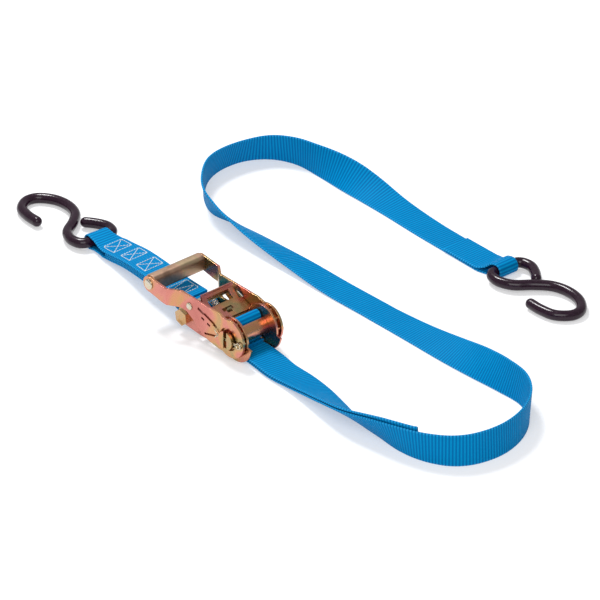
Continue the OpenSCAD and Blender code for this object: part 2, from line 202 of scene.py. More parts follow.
@dataclass(frozen=True)
class WovenPolyester:
    """Plain woven polyester webbing, piece dyed blue.

    Cross ribs lie in close rows, and the yarns break each rib into small stitches.
    The rib height paints the colour: a painted highlight on the crests and painted shade
    in the grooves. A paler dashed band on both selvedges is a painted highlight on the
    rounded edges.
    """

    name: str = "woven_polyester_webbing"
    # deep is painted shade in the rib grooves and crest a painted highlight on the rib crests; face
    # is the webbing's own blue
    painted_groove_shade: str = "#006099"
    face: str = "#0074B0"
    painted_crest_highlight: str = "#008CC4"
    # selvedge is a painted highlight along the rounded edges, dashed at the rib pitch
    selvedge: str = "#2E9FD8"
    width_mm: float = 25.0
    rib_mm: float = 2.4
    yarn_mm: float = 1.1

    def wave(self, tree: bpy.types.NodeTree, source: bpy.types.NodeSocket, pitch_mm: float,
             shift: bpy.types.NodeSocket | float = 0.0) -> bpy.types.NodeSocket:
        """Returns half of one plus the sine of the place over the pitch, plus a shift."""
        turn = 2 * np.pi * self.width_mm / pitch_mm
        angle = add_node(tree, "Math", {"operation": "MULTIPLY_ADD"}, {0: source, 1: turn, 2: shift})
        sine = add_node(tree, "Math", {"operation": "SINE"}, {0: angle.outputs[0]})
        half = add_node(tree, "Math", {"operation": "MULTIPLY_ADD"},
                        {0: sine.outputs[0], 1: 0.5, 2: 0.5})
        return half.outputs[0]

    def make(self) -> bpy.types.Material:
        """Builds the material from the weave map: u across the band, v along it."""
        material, tree, shader = new_material(self.name)
        weave = add_node(tree, "UVMap", {"uv_map": "weave"}).outputs["UV"]
        axis = add_node(tree, "SeparateXYZ", sockets={0: weave})
        across, along = axis.outputs[0], axis.outputs[1]
        rib = self.wave(tree, along, self.rib_mm)
        row = add_node(tree, "Math", {"operation": "MULTIPLY"},
                       {0: along, 1: self.width_mm / self.rib_mm})
        whole = add_node(tree, "Math", {"operation": "FLOOR"}, {0: row.outputs[0]})
        shift = add_node(tree, "Math", {"operation": "MULTIPLY"}, {0: whole.outputs[0], 1: np.pi})
        yarn = self.wave(tree, across, self.yarn_mm, shift.outputs[0])
        stitch = add_node(tree, "Math", {"operation": "MULTIPLY"}, {0: rib, 1: yarn})
        height = add_node(tree, "Math", {"operation": "MULTIPLY_ADD"},
                          {0: stitch.outputs[0], 1: 0.45, 2: rib})
        place = add_node(tree, "TexCoord").outputs["Object"]
        cloud = add_node(tree, "TexNoise", sockets={
            "Vector": place, "Scale": 1 / (30 * MM), "Detail": 3.0})
        shade = add_node(tree, "Math", {"operation": "MULTIPLY_ADD"},
                         {0: cloud.outputs[0], 1: 0.35, 2: height.outputs[0]})
        level = add_node(tree, "MapRange", sockets={
            "Value": shade.outputs[0], "From Min": 0.1, "From Max": 1.5})
        # painted light: the rib height, with dye clouds on top, runs the colour from painted shade
        # in the grooves to a painted highlight on the crests
        body = ramp(tree, level.outputs[0],
                    [(0.0, self.painted_groove_shade), (0.45, self.face), (1.0, self.painted_crest_highlight)])
        # painted highlight: a paler dashed band along both selvedges, one dash to each rib
        off = add_node(tree, "Math", {"operation": "SUBTRACT"}, {0: across, 1: 0.5})
        edge = add_node(tree, "Math", {"operation": "ABSOLUTE"}, {0: off.outputs[0]})
        border = add_node(tree, "MapRange", {"interpolation_type": "SMOOTHSTEP"}, {
            "Value": edge.outputs[0], "From Min": 0.44, "From Max": 0.475})
        dash = self.wave(tree, along, 2.4)
        dashed = add_node(tree, "Math", {"operation": "MULTIPLY"},
                          {0: border.outputs[0], 1: dash})
        soft = add_node(tree, "Math", {"operation": "MULTIPLY"}, {0: dashed.outputs[0], 1: 0.6})
        cloth = add_node(tree, "Mix", {"data_type": "RGBA"}, {
            0: soft.outputs[0], 6: body, 7: linear(self.selvedge)})
        bump = add_node(tree, "Bump", sockets={
            "Strength": 0.38, "Distance": 0.3 * MM, "Height": height.outputs[0]})
        tree.links.new(cloth.outputs[2], shader.inputs["Base Color"])
        tree.links.new(bump.outputs[0], shader.inputs["Normal"])
        shader.inputs["Roughness"].default_value = 0.55
        shader.inputs["Specular IOR Level"].default_value = 0.03
        return material


@dataclass(frozen=True)
class DippedVinyl:
    """Soft vinyl dipped over steel wire, black with a plum cast.

    A thick glossy skin with slow ripples where it ran before it set.
    """

    name: str = "dipped_black_vinyl"
    colour: str = "#1E0A1A"
    worn: str = "#2C1427"

    def make(self) -> bpy.types.Material:
        """Builds the material: ripples bend the shine and dust dulls it in places."""
        material, tree, shader = new_material(self.name)
        place = add_node(tree, "TexCoord").outputs["Object"]
        ripple = add_node(tree, "TexNoise", sockets={
            "Vector": place, "Scale": 1 / (7 * MM), "Detail": 2.0})
        dust = add_node(tree, "TexNoise", sockets={
            "Vector": place, "Scale": 1 / (1.5 * MM), "Detail": 5.0})
        colour = ramp(tree, dust.outputs[0], [(0.4, self.colour), (0.75, self.worn)])
        rough = add_node(tree, "MapRange", sockets={
            "Value": dust.outputs[0], "From Min": 0.3, "From Max": 0.7,
            "To Min": 0.14, "To Max": 0.26})
        bump = add_node(tree, "Bump", sockets={
            "Strength": 0.35, "Distance": 0.25 * MM, "Height": ripple.outputs[0]})
        tree.links.new(colour, shader.inputs["Base Color"])
        tree.links.new(rough.outputs[0], shader.inputs["Roughness"])
        tree.links.new(bump.outputs[0], shader.inputs["Normal"])
        shader.inputs["Specular IOR Level"].default_value = 0.32
        return material


@dataclass(frozen=True)
class SewingThread:
    """Bonded polyester thread, off white, laid in tight lock stitches.

    Its two plies twist, which puts a fine slanted shade on each stitch.
    """

    name: str = "bonded_polyester_thread"
    colour: str = "#DCE6EA"
    shade: str = "#A9BCC8"

    def make(self) -> bpy.types.Material:
        """Builds the material: fine noise stands for the twist of the plies."""
        material, tree, shader = new_material(self.name)
        place = add_node(tree, "TexCoord").outputs["Object"]
        twist = add_node(tree, "TexNoise", sockets={
            "Vector": place, "Scale": 1 / (0.5 * MM), "Detail": 1.0})
        colour = ramp(tree, twist.outputs[0], [(0.35, self.shade), (0.6, self.colour)])
        tree.links.new(colour, shader.inputs["Base Color"])
        shader.inputs["Roughness"].default_value = 0.65
        shader.inputs["Sheen Weight"].default_value = 0.3
        return material


class Finishes:
    """Every material of the object, made once."""

    def __init__(self) -> None:
        """Makes the materials."""
        self.plate = PassivatedSteel().make()
        self.grip = PassivatedSteel(
            name="dull_passivated_steel", patch_mm=18.0, rough_low=0.34, rough_high=0.5,
            stops=((0.28, "#8E7260"), (0.45, "#B0907A"), (0.55, "#A39274"), (0.74, "#B99882")),
        ).make()
        self.fastener = PassivatedSteel(
            name="gold_passivated_fastener", patch_mm=8.0, rough_low=0.18, rough_high=0.34,
            stops=((0.28, "#A87F4E"), (0.45, "#C49A6A"), (0.55, "#B79E78"), (0.74, "#C48E68")),
        ).make()
        self.bright = PassivatedSteel(
            name="bright_drawn_steel", patch_mm=9.0, rough_low=0.2, rough_high=0.34,
            stops=((0.28, "#A79C8C"), (0.45, "#C9C3B8"), (0.55, "#C7BC9F"), (0.74, "#CDBCAA")),
        ).make()
        self.webbing = WovenPolyester().make()
        self.vinyl = DippedVinyl().make()
        self.thread = SewingThread().make()


# ---------------------------------------------------------------- array geometry


def unit(v: np.ndarray) -> np.ndarray:
    """Divides each row by its length."""
    return v / np.linalg.norm(v, axis=-1, keepdims=True)


def smooth(rows: np.ndarray, steps: int) -> np.ndarray:
    """A smooth curve through every row.

    Between rows b and c, with a before and d after, each point is half of
    2b + (c - a)t + (2a - 5b + 4c - d)t^2 + (3b - a - 3c + d)t^3.

    Args:
        rows: Points to pass through.
        steps: Points from row to row.

    Returns:
        The curve's points.
    """
    padded = np.vstack([rows[:1], rows, rows[-1:]])
    a, b, c, d = (padded[i:len(padded) - 3 + i, None, :] for i in range(4))
    t = (np.arange(steps) / steps)[None, :, None]
    curve = 0.5 * (2 * b + (c - a) * t + (2 * a - 5 * b + 4 * c - d) * t ** 2
                   + (3 * b - a - 3 * c + d) * t ** 3)
    return np.vstack([curve.reshape(-1, rows.shape[1]), rows[-1:]])


def heading(points: np.ndarray) -> np.ndarray:
    """Direction of a line at each of its points: from the one before to the one after."""
    ends = np.vstack([points[:1], points, points[-1:]])
    return unit(ends[2:] - ends[:-2])


def distance_along(points: np.ndarray) -> np.ndarray:
    """Distance from the first point to each point."""
    return np.concatenate([[0.0], np.cumsum(np.linalg.norm(np.diff(points, axis=0), axis=1))])


def tube_faces(rings: int, sides: int) -> list[list[int]]:
    """Faces of a closed tube: a quad from each ring to the next, and a cap on each end."""
    first = (np.arange(rings - 1) * sides)[:, None]
    here = np.arange(sides)[None, :]
    there = (here + 1) % sides
    quads = np.stack([first + here, first + sides + here, first + sides + there,
                      first + there], axis=-1).reshape(-1, 4)
    last = (rings - 1) * sides
    return quads.tolist() + [list(range(sides)), list(range(last + sides - 1, last - 1, -1))]


def make_piece(name: str, points_mm: np.ndarray, faces: list, material: bpy.types.Material,
               body: Body, uv: np.ndarray | None = None, sharp: float = 40.0,
               ) -> bpy.types.Object:
    """Puts arrays into a mesh object that rides on a body.

    Args:
        name: The piece's name.
        points_mm: Vertices in millimetres.
        faces: Vertex numbers of each face.
        material: Its finish.
        body: The body that it rides on.
        uv: Two numbers for each vertex, for the weave map.
        sharp: Edges that bend by more degrees than this stay crisp.

    Returns:
        The object.
    """
    mesh = bpy.data.meshes.new(name)
    mesh.from_pydata((points_mm * MM).tolist(), [], faces)
    edit = bmesh.new()
    edit.from_mesh(mesh)
    bmesh.ops.recalc_face_normals(edit, faces=edit.faces)
    edit.to_mesh(mesh)
    edit.free()
    if uv is not None:
        corner = np.empty(len(mesh.loops), dtype=np.int32)
        mesh.loops.foreach_get("vertex_index", corner)
        layer = mesh.uv_layers.new(name="weave")
        layer.data.foreach_set("uv", uv[corner].astype(np.float32).ravel())
    mesh.shade_smooth()
    mesh.set_sharp_from_angle(angle=radians(sharp))
    mesh.materials.append(material)
    piece = bpy.data.objects.new(name, mesh)
    bpy.context.scene.collection.objects.link(piece)
    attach(piece, body.value)
    LOG.info("%s on %s, %d faces", name, body.value, len(mesh.polygons))
    return piece


def wire_piece(name: str, line: np.ndarray, radius: float, normal: np.ndarray,
               material: bpy.types.Material, body: Body, sides: int = 12,
               round_ends: bool = True) -> bpy.types.Object:
    """Carries a circle along a line, with half round ends.

    At angle q the surface is the line plus the radius times (cos q * side + sin q * normal),
    where side is square to the normal and the line. Towards a round end the radius
    falls as the root of one minus the square of the way into the cap.

    Args:
        name: The piece's name.
        line: Points of its centre line, in millimetres.
        radius: The wire's radius in millimetres.
        normal: The direction that stays square to the line's bends.
        material: Its finish.
        body: The body that it rides on.
        sides: Points round the wire.
        round_ends: Whether the ends are rounded.

    Returns:
        The object.
    """
    way = heading(line)
    size = np.full(len(line), radius)
    if round_ends:
        into = np.array([0.99, 0.92, 0.78, 0.55, 0.28])
        start = line[0] - radius * into[:, None] * way[0]
        end = line[-1] + radius * into[::-1, None] * way[-1]
        line = np.vstack([start, line, end])
        way = np.vstack([np.repeat(way[:1], 5, 0), way, np.repeat(way[-1:], 5, 0)])
        fall = radius * np.sqrt(1 - into ** 2)
        size = np.concatenate([fall, size, fall[::-1]])
    side = unit(np.cross(np.broadcast_to(normal, way.shape), way))
    up = np.cross(way, side)
    q = np.arange(sides) * 2 * np.pi / sides
    ring = np.cos(q)[None, :, None] * side[:, None] + np.sin(q)[None, :, None] * up[:, None]
    points = line[:, None] + size[:, None, None] * ring
    return make_piece(name, points.reshape(-1, 3), tube_faces(len(line), sides), material, body)


# ---------------------------------------------------------------- webbing


@dataclass
class Band:
    """A length of webbing: a flat section with rounded selvedges, carried along a line.

    A point across the band by c and through it by h is the line plus c times the width
    direction plus h times the direction square to the width and the line.
    """

    name: str
    points: np.ndarray
    side: np.ndarray
    width: float = 25.0
    thick: float = 1.5
    across: int = 14
    clip_start: float = 0.0
    clip_end: float = 0.0
    up: np.ndarray = field(init=False)
    run: np.ndarray = field(init=False)

    def __post_init__(self) -> None:
        """Works out the face direction and the distance along."""
        self.up = unit(np.cross(heading(self.points), self.side))
        self.run = distance_along(self.points)

    @property
    def length(self) -> float:
        """Length of the middle line in millimetres."""
        return float(self.run[-1])

    def section(self) -> np.ndarray:
        """Points round the section: a half circle on each selvedge and a row on each face."""
        r = self.thick / 2
        flat = self.width / 2 - r
        turn = np.radians(np.linspace(-90, 90, 7))
        row = np.linspace(flat, -flat, self.across)[1:-1]
        right = np.stack([flat + r * np.cos(turn), r * np.sin(turn)], 1)
        top = np.stack([row, np.full_like(row, r)], 1)
        left = np.stack([-flat - r * np.cos(turn), -r * np.sin(turn)], 1)
        return np.vstack([right, top, left, np.stack([row[::-1], np.full_like(row, -r)], 1)])

    def surface(self, along: np.ndarray, across: np.ndarray, lift: float) -> tuple:
        """Points over the upper face.

        Args:
            along: Distances along the band.
            across: Distances from its middle.
            lift: Height over the middle of the webbing.

        Returns:
            The points and the face direction at each.
        """
        def at(values: np.ndarray) -> np.ndarray:
            """Values of the line at the distances along."""
            return np.stack([np.interp(along, self.run, values[:, k]) for k in range(3)], -1)
        face = unit(at(self.up))
        return at(self.points) + across[:, None] * at(self.side) + lift * face, face

    def build(self, material: bpy.types.Material, body: Body) -> bpy.types.Object:
        """Makes the piece, with u across it and v along it on the weave map."""
        section = self.section()
        c, h = section[:, 0], section[:, 1]
        points = (self.points[:, None] + c[None, :, None] * self.side[:, None]
                  + h[None, :, None] * self.up[:, None])
        way = heading(self.points)
        points[0] += way[0] * (self.clip_start * c / self.width)[:, None]
        points[-1] += way[-1] * (self.clip_end * c / self.width)[:, None]
        u = np.broadcast_to(0.5 + c / self.width, points.shape[:2])
        v = np.broadcast_to((self.run / self.width)[:, None], points.shape[:2])
        uv = np.stack([u, v], -1).reshape(-1, 2)
        return make_piece(self.name, points.reshape(-1, 3), tube_faces(len(self.points), len(c)),
                          material, body, uv, sharp=60.0)


@dataclass
class Stitching:
    """Lock stitches along lines on a band: each is a short arched thread with thin ends."""

    name: str
    band: Band
    lines: list
    pitch: float = 2.4
    gap: float = 0.2
    thread: float = 0.3

    def build(self, material: bpy.types.Material, body: Body) -> bpy.types.Object:
        """Makes all the stitches as one mesh.

        Along a stitch by t the thread's middle rises by the sine of pi t, and its radius
        follows the fourth root of that sine.
        """
        starts, ends, faces_up = [], [], []
        for line in self.lines:
            line = np.asarray(line, dtype=float)
            run = distance_along(line)
            count = max(1, int(round(run[-1] / self.pitch)))
            cuts = np.linspace(0, run[-1], count + 1)
            for shift, store in ((self.gap / 2, starts), (-self.gap / 2, ends)):
                place = cuts[:-1] + shift if shift > 0 else cuts[1:] + shift
                s, w = (np.interp(place, run, line[:, k]) for k in (0, 1))
                point, face = self.band.surface(s, w, self.band.thick / 2 - 0.08)
                store.append(point)
            faces_up.append(face)
        p, q, up = np.vstack(starts), np.vstack(ends), np.vstack(faces_up)
        t = np.linspace(0.03, 0.97, 6)
        arch = np.sin(np.pi * t)
        way = unit(q - p)
        side = unit(np.cross(up, way))
        angle = np.arange(6) * np.pi / 3
        middle = (p[:, None] + (q - p)[:, None] * t[None, :, None]
                  + up[:, None] * (0.3 * arch)[None, :, None])
        ring = (np.cos(angle)[None, :, None] * side[:, None]
                + np.sin(angle)[None, :, None] * up[:, None])
        radius = self.thread * arch ** 0.25
        points = middle[:, :, None] + radius[None, :, None, None] * ring[:, None]
        one = tube_faces(6, 6)
        faces = [[v + 36 * k for v in f] for k in range(len(p)) for f in one]
        return make_piece(self.name, points.reshape(-1, 3), faces, material, body)


def zigzag(start: float, length: float, half_width: float, turns: int) -> np.ndarray:
    """A zigzag along the band: it starts at a distance, and swings from edge to edge."""
    s = np.linspace(start, start + length, turns + 1)
    w = half_width * np.where(np.arange(turns + 1) % 2 == 0, 1.0, -1.0)
    return np.stack([s, w], 1)


def sewn_box(start: float, length: float, half_width: float) -> np.ndarray:
    """A closed rectangle of stitches."""
    a, b, w = start, start + length, half_width
    return np.array([[a, w], [b, w], [b, -w], [a, -w], [a, w]])


class Webbing:
    """The load strap, its folded end, its tail, the turn on the spool and the anchor strap."""

    WIDTH = 25.0
    THICK = 1.5
    LAYER = 1.6
    BAR_Z = GROUND + 5.25 + 0.75
    LEFT_BAR = np.array([-191.0, 21.0, BAR_Z])
    RIGHT_BAR = np.array([41.3, 214.6, BAR_Z])
    LEFT_TURN = 4.4
    RIGHT_TURN = 1.0
    LOOP_R = 5.25
    BOLT = np.array([-52.0, 0.0, -4.2])
    BOLT_LOOP_R = 6.15

    # x, y, roll and lift of the load strap
    MAIN = np.array([
        [-4, 0, 0, 2.1], [10, 0, 0, 1.9], [24, -1, 0, 1.2], [40, -3, -2, 0.2],
        [60, -4, -6, 0], [80, -7, -14, 0], [102, -12, -26, 0], [126, -17, -41, 0],
        [151, -17, -57, 0], [174, -16, -73, 0], [195, -11, -83, 0], [213, 0, -90, 0],
        [223, 16, -93, 0], [226, 39, -93, 0], [220, 63, -90, 0], [206, 84, -86, 0],
        [186, 97, -78, 0], [161, 101, -62, 0], [134, 103, -44, 0], [104, 105, -24, 0],
        [68, 107, -8, 0], [27, 108, 0, 0], [-23, 108, 2, 0], [-63, 109, 10, 0],
        [-98, 109, 21, 0], [-125, 109, 33, 0], [-147, 109, 48, 0], [-169, 111, 70, 0],
        [-188, 122, 84, 0], [-205, 140, 95, 0], [-213, 161, 106, 0], [-212, 184, 110, 0],
        [-202, 202, 104, 0], [-184, 212, 95, 0], [-161, 215, 80, 0], [-137, 218, 55, 0],
        [-112, 221, 25, 0], [-84, 221, 6, 0], [-38, 218, 0, 0], [23.3, 215.1, 0, 0]],
        dtype=float)
    TAIL_POINTS = 11
    # gap between the tail and the load strap beyond one layer's, and the cut end's slant
    TAIL_GAP = 0.4
    TAIL_SLANT = 9.0
    # share of its width that the webbing is bunched to at a bar, how far from the bar it
    # starts to spread, and over what distance
    BUNCH = 0.72
    BUNCH_START = 6.0
    BUNCH_SPREAD = 12.0
    ANCHOR = np.array([
        [-52, 0, -4.2], [-66, 1, -1.5], [-92, 5, -1.2], [-118, 10, -3], [-143, 16, -7],
        [-168, 20.5, -12], [-191, 21, BAR_Z]], dtype=float)
    # half of the gap between the inner layers at the first points after the bolt
    OPENING = np.array([6.15, 5.4, 4.2, 3.0, 2.0, 1.2, 0.8])
    # x and z of the loose turn on the spool, from the foot of the slot
    WRAP = np.array([
        [0, -9.5], [0, -3], [0, 4], [-0.8, 8.6], [-3.6, 10.7], [-7.2, 8.8], [-9.8, 5.4],
        [-11, 1], [-10.6, -3.4], [-8.4, -7.4], [-4.8, -10.2], [-0.6, -11.3], [3, -11]])
    STEPS = 8

    def __init__(self, finishes: Finishes) -> None:
        """Keeps the finishes and works out the load strap's line."""
        self.finishes = finishes
        rows = smooth(self.MAIN, self.STEPS)
        roll, lift = np.radians(rows[:, 2]), rows[:, 3]
        z = (GROUND + self.WIDTH / 2 * np.abs(np.sin(roll))
             + self.THICK / 2 * np.abs(np.cos(roll)) + lift)
        self.line = np.stack([rows[:, 0], rows[:, 1], z], 1)
        way = heading(self.line)
        flat = unit(np.cross(np.array([0.0, 0.0, 1.0]), way))
        up = np.cross(way, flat)
        self.left = np.cos(roll)[:, None] * flat + np.sin(roll)[:, None] * up

    def bunched(self, points: np.ndarray, bar: np.ndarray, sign: float,
                turn: float) -> np.ndarray:
        """Width direction near a hook's bar.

        The webbing is narrower there and takes the bar's turn.
        """
        past = np.linalg.norm(points - bar, axis=1) - self.BUNCH_START
        away = np.clip(past, 0, self.BUNCH_SPREAD) / self.BUNCH_SPREAD
        angle = np.radians(turn) * (1 - away)
        way = np.stack([np.sin(angle), np.cos(angle), np.zeros_like(angle)], 1)
        return sign * (self.BUNCH + (1 - self.BUNCH) * away)[:, None] * way

    def load_strap(self) -> bpy.types.Object:
        """Makes the load strap, 25 mm wide, which ends at the right hook."""
        band = Band("load_strap", self.line, self.left)
        piece = band.build(self.finishes.webbing, Body.FRAME)
        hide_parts("main_strap")
        return piece

    def tail(self) -> bpy.types.Object:
        """Makes the free tail, which lies on the load strap's upper face."""
        last = self.STEPS * (self.TAIL_POINTS - 1) + 1
        line, left = self.line[4:last], self.left[4:last]
        up = unit(np.cross(heading(self.line), self.left))[4:last]
        run = distance_along(line) / distance_along(line)[-1]
        proud = 2.6 * np.clip((run - 0.35) / 0.5, 0, 1) ** 2
        line = line + (self.LAYER + self.TAIL_GAP) * up - left * proud[:, None]
        band = Band("strap_tail_band", line, left, clip_end=self.TAIL_SLANT)
        piece = band.build(self.finishes.webbing, Body.FRAME)
        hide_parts("strap_tail")
        return piece

    def folded_end(self) -> None:
        """Makes the sewn loop on the right hook: under the bar, round it and back on top."""
        low = GROUND + self.THICK / 2
        a = np.radians(np.linspace(-90, 90, 19))
        turn = np.stack([self.LOOP_R * np.cos(a), self.BAR_Z + self.LOOP_R * np.sin(a)], 1)
        before = smooth(np.array([[-17.4, low], [-12, low], [-5, low], [-1.5, low]]), 3)
        after = smooth(np.array([
            [-1.5, self.BAR_Z + 5.1], [-6, self.BAR_Z + 3.6], [-12, low + self.LAYER + 2.8],
            [-19, low + self.LAYER + 0.6], [-26, low + self.LAYER + 0.3],
            [-54, low + self.LAYER + 0.3]]), 6)
        path = np.vstack([before, turn, after])
        points = np.stack([self.RIGHT_BAR[0] + path[:, 0], self.RIGHT_BAR[1] - 0.028 * path[:, 0],
                           path[:, 1]], 1)
        width = self.bunched(points, self.RIGHT_BAR, 1.0, self.RIGHT_TURN)
        band = Band("load_strap_fold", points, width)
        piece = band.build(self.finishes.webbing, Body.FRAME)
        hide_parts("main_strap_end")
        end = band.length
        lines = [zigzag(end - 34, 30, 9.0, 3), zigzag(end - 34, 30, -9.0, 3)]
        thread = Stitching("load_strap_stitches", band, lines).build(
            self.finishes.thread, Body.FRAME)

    def spool_turn(self) -> None:
        """Makes the turn of webbing down the slot and round the rear half round shaft."""
        path = smooth(self.WRAP, 8)
        points = np.stack([path[:, 0], np.zeros(len(path)), path[:, 1]], 1)
        side = np.tile(np.array([0.0, -1.0, 0.0]), (len(points), 1))
        band = Band("spool_turn", points, side)
        piece = band.build(self.finishes.webbing, Body.SPOOL)
        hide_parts("strap_wrap")

    def anchor(self) -> None:
        """Makes the anchor strap: inner layers round the bolt, outer ones round the hook."""
        line = smooth(self.ANCHOR, 6)
        side = unit(np.cross(heading(line), np.array([0.0, 0.0, 1.0])))
        up = np.cross(side, heading(line))

        end = len(line) - 1
        number = np.arange(end + 1)
        inner_gap = np.interp(number / 2, np.arange(7), self.OPENING)
        outer_gap = np.interp((end - number) / 2, [1, 2], [3.9, self.LAYER * 1.5])

        def layer(first: int, last: int, lift: np.ndarray) -> np.ndarray:
            """Points of the line from one number to another, lifted off it."""
            step = 1 if last > first else -1
            pick = np.arange(first, last + step, step)
            return line[pick] + lift[pick, None] * up[pick]

        def turn(at: np.ndarray, r: float, out: np.ndarray) -> np.ndarray:
            """A half turn round a bar from its top to its bottom, bulging along out."""
            a = np.radians(np.linspace(90, -90, 19))[:, None]
            return at + r * (np.cos(a) * out + np.sin(a) * np.array([0.0, 0.0, 1.0]))

        run = end - 6
        inner = np.vstack([
            layer(run, 2, inner_gap), turn(self.BOLT, self.BOLT_LOOP_R, np.array([1.0, 0, 0])),
            layer(2, run, -inner_gap)])
        width = np.tile(np.array([0.0, 1.0, 0.0]), (len(inner), 1))
        inner_band = Band("anchor_strap_inner", inner, width)
        piece = inner_band.build(self.finishes.webbing, Body.ANCHOR)
        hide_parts("anchor_strap")

        spin = radians(self.LEFT_TURN)
        outer = np.vstack([
            layer(4, end - 2, np.maximum(inner_gap + self.LAYER, outer_gap)),
            turn(self.LEFT_BAR, self.LOOP_R, np.array([-np.cos(spin), np.sin(spin), 0.0])),
            layer(end - 2, 16, -outer_gap)])
        width = self.bunched(outer, self.LEFT_BAR, -1.0, self.LEFT_TURN)
        outer_band = Band("anchor_strap_outer", outer, width)
        piece = outer_band.build(self.finishes.webbing, Body.ANCHOR)
        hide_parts("anchor_strap_end")
        lines = []
        for start in (105.0, 81.0, 56.0):
            lines += [sewn_box(start, 14, 8.8), zigzag(start, 14, 8.8, 1),
                      zigzag(start, 14, -8.8, 1)]
        lines += [sewn_box(7.0, 16, 9.2), zigzag(7.0, 16, 9.0, 3),
                  np.array([[33.0, -10.0], [33.0, 10.0]])]
        thread = Stitching("anchor_strap_stitches", outer_band, lines).build(
            self.finishes.thread, Body.ANCHOR)

    def build(self) -> None:
        """Makes every length of webbing, the free ones first."""
        self.load_strap()
        self.tail()
        self.folded_end()
        self.spool_turn()
        self.anchor()


# ---------------------------------------------------------------- hooks


class Hooks:
    """Two S hooks of 8 mm wire in a vinyl coat, one in each strap's end."""

    ROUTE = np.array([
        [26.6, 7.6], [20, 12.6], [12, 16.3], [5, 15.8], [1.2, 13.2], [0, 9.5], [0, 0], [0, -9.5],
        [1.2, -13.2], [5, -15.8], [13, -16.3], [23, -11.5], [32, 0], [42, 9.3], [55, 13],
        [69, 11], [80, 2.7], [81.5, -7.5], [73.5, -17], [61.5, -19.8], [50.5, -19.8]],
        dtype=float)
    WIRE_R = 4.0
    LEAN = 1.4

    def __init__(self, finishes: Finishes) -> None:
        """Keeps the finishes."""
        self.finishes = finishes

    def line(self, yaw: float, half_turn: bool, bar: np.ndarray) -> tuple:
        """Turns the hook's flat line into place.

        The line leans about Y, then turns about Z, then moves to the bar.

        Args:
            yaw: Turn about Z in degrees.
            half_turn: Whether the hook runs to -X.
            bar: Middle of its straight bar.

        Returns:
            The points and the normal of the hook's plane.
        """
        flat = smooth(self.ROUTE, 8)
        points = np.column_stack([flat, np.zeros(len(flat))])
        tilt = radians(180 - self.LEAN if half_turn else self.LEAN)
        spin = radians(yaw)
        about_y = np.array([[np.cos(tilt), 0, np.sin(tilt)], [0, 1, 0],
                            [-np.sin(tilt), 0, np.cos(tilt)]])
        about_z = np.array([[np.cos(spin), -np.sin(spin), 0], [np.sin(spin), np.cos(spin), 0],
                            [0, 0, 1]])
        turn = about_z @ about_y
        return points @ turn.T + bar, turn @ np.array([0.0, 0.0, 1.0])

    def build(self) -> None:
        """Makes both hooks."""
        for name, node, body, yaw, half, bar in (
                ("left_hook_wire", "left_hook", Body.LEFT_HOOK, -Webbing.LEFT_TURN, True,
                 Webbing.LEFT_BAR),
                ("right_hook_wire", "right_hook", Body.RIGHT_HOOK, -Webbing.RIGHT_TURN, False,
                 Webbing.RIGHT_BAR)):
            line, normal = self.line(yaw, half, bar)
            piece = wire_piece(name, line, self.WIRE_R, normal, self.finishes.vinyl, body, 28)
            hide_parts(node)


# ---------------------------------------------------------------- ratchet


@dataclass
class Pressing:
    """A metal part with its edges broken, made from a CAD node.

    Its triangles are merged and made flat faces again, and every edge that bends by more
    than the limit gets a narrow round.
    """

    node: str
    body: Body
    edge_mm: float = 0.25
    limit: float = 32.0

    def build(self, material: bpy.types.Material, slot: str) -> bpy.types.Object:
        """Makes the piece in a finish and takes the node's place."""
        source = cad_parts[self.node]
        mesh = source.data.copy()
        mesh.name = self.node + "_part"
        edit = bmesh.new()
        edit.from_mesh(mesh)
        bmesh.ops.remove_doubles(edit, verts=edit.verts, dist=1e-6)
        bmesh.ops.dissolve_limit(edit, angle_limit=radians(0.6), verts=edit.verts,
                                 edges=edit.edges)
        bmesh.ops.recalc_face_normals(edit, faces=edit.faces)
        edit.to_mesh(mesh)
        edit.free()
        mesh.materials.clear()
        mesh.materials.append(material)
        mesh.shade_smooth()
        mesh.set_sharp_from_angle(angle=radians(self.limit))
        piece = bpy.data.objects.new(self.node + "_part", mesh)
        bpy.context.scene.collection.objects.link(piece)
        bevel = piece.modifiers.new("broken_edges", "BEVEL")
        bevel.width = self.edge_mm * MM
        bevel.segments = 2
        bevel.limit_method = "ANGLE"
        bevel.angle_limit = radians(self.limit)
        bevel.harden_normals = True
        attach(piece, self.body.value)
        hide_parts(self.node)
        LOG.info("%s on %s, %d faces", piece.name, self.body.value, len(mesh.polygons))
        return piece


@dataclass
class Spring:
    """A compression spring with closed ends.

    Along it by t the coil's place is a smooth step that crowds the end turns, and its
    angle is the number of turns times t.
    """

    name: str
    node: str
    body: Body
    joint: str
    tilt: float
    start: float
    drop: float
    length: float
    radius: float
    wire: float
    turns: float
    keep: float

    def build(self, material: bpy.types.Material) -> None:
        """Makes the coil."""
        t = np.linspace(0, 1, int(self.turns * 26))
        place = self.wire / 2 + (self.length - self.wire) * (0.75 * t + 0.25 * t * t * (3 - 2 * t))
        angle = 2 * np.pi * self.turns * t
        local = np.stack([self.start + place, self.radius * np.cos(angle),
                          self.drop + self.radius * np.sin(angle)], 1)
        tilt = radians(self.tilt)
        out = np.array([-np.cos(tilt), 0.0, np.sin(tilt)])
        up = np.array([np.sin(tilt), 0.0, np.cos(tilt)])
        line = local[:, :1] * out + local[:, 1:2] * np.array([0.0, -1.0, 0.0]) + local[:, 2:] * up
        piece = wire_piece(self.name, line, self.wire / 2, out, material, self.body, 10)
        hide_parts(self.node)
        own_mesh(piece)


